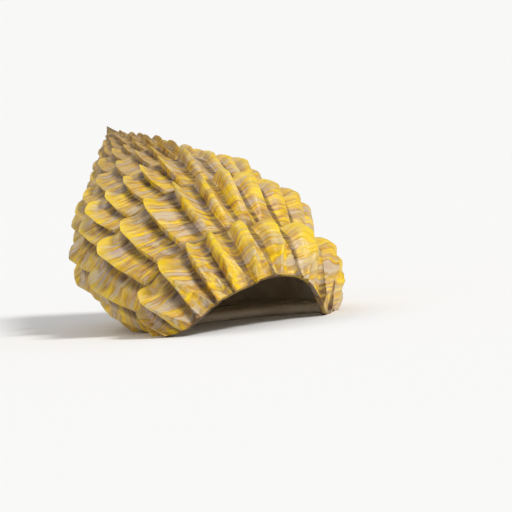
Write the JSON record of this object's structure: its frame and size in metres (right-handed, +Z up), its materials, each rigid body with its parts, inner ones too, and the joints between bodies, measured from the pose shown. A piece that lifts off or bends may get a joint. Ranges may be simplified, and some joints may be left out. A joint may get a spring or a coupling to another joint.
{
  "type": "land snail shell",
  "caption": "Domed spiral land snail shell with strong slanting flutes, a hollow chamber, a mouth on the underside and an arched notch in its front rim.",
  "frame": {"origin": "middle of the bottom of the bounding box, on the surface the shell rests on", "axes": "+Z up from the flat underside, +Y from the arched front rim towards the apex, +X to the right of someone who faces the arch"},
  "size_m": [0.0405, 0.0544, 0.0294],
  "materials": {
    "shell_aragonite": "aragonite snail shell, golden yellow to ochre with brown creases and grey-pink streaks, satin gloss"
  },
  "bodies": {
    "root": {"shell": "shell_aragonite"}
  },
  "joints": []
}
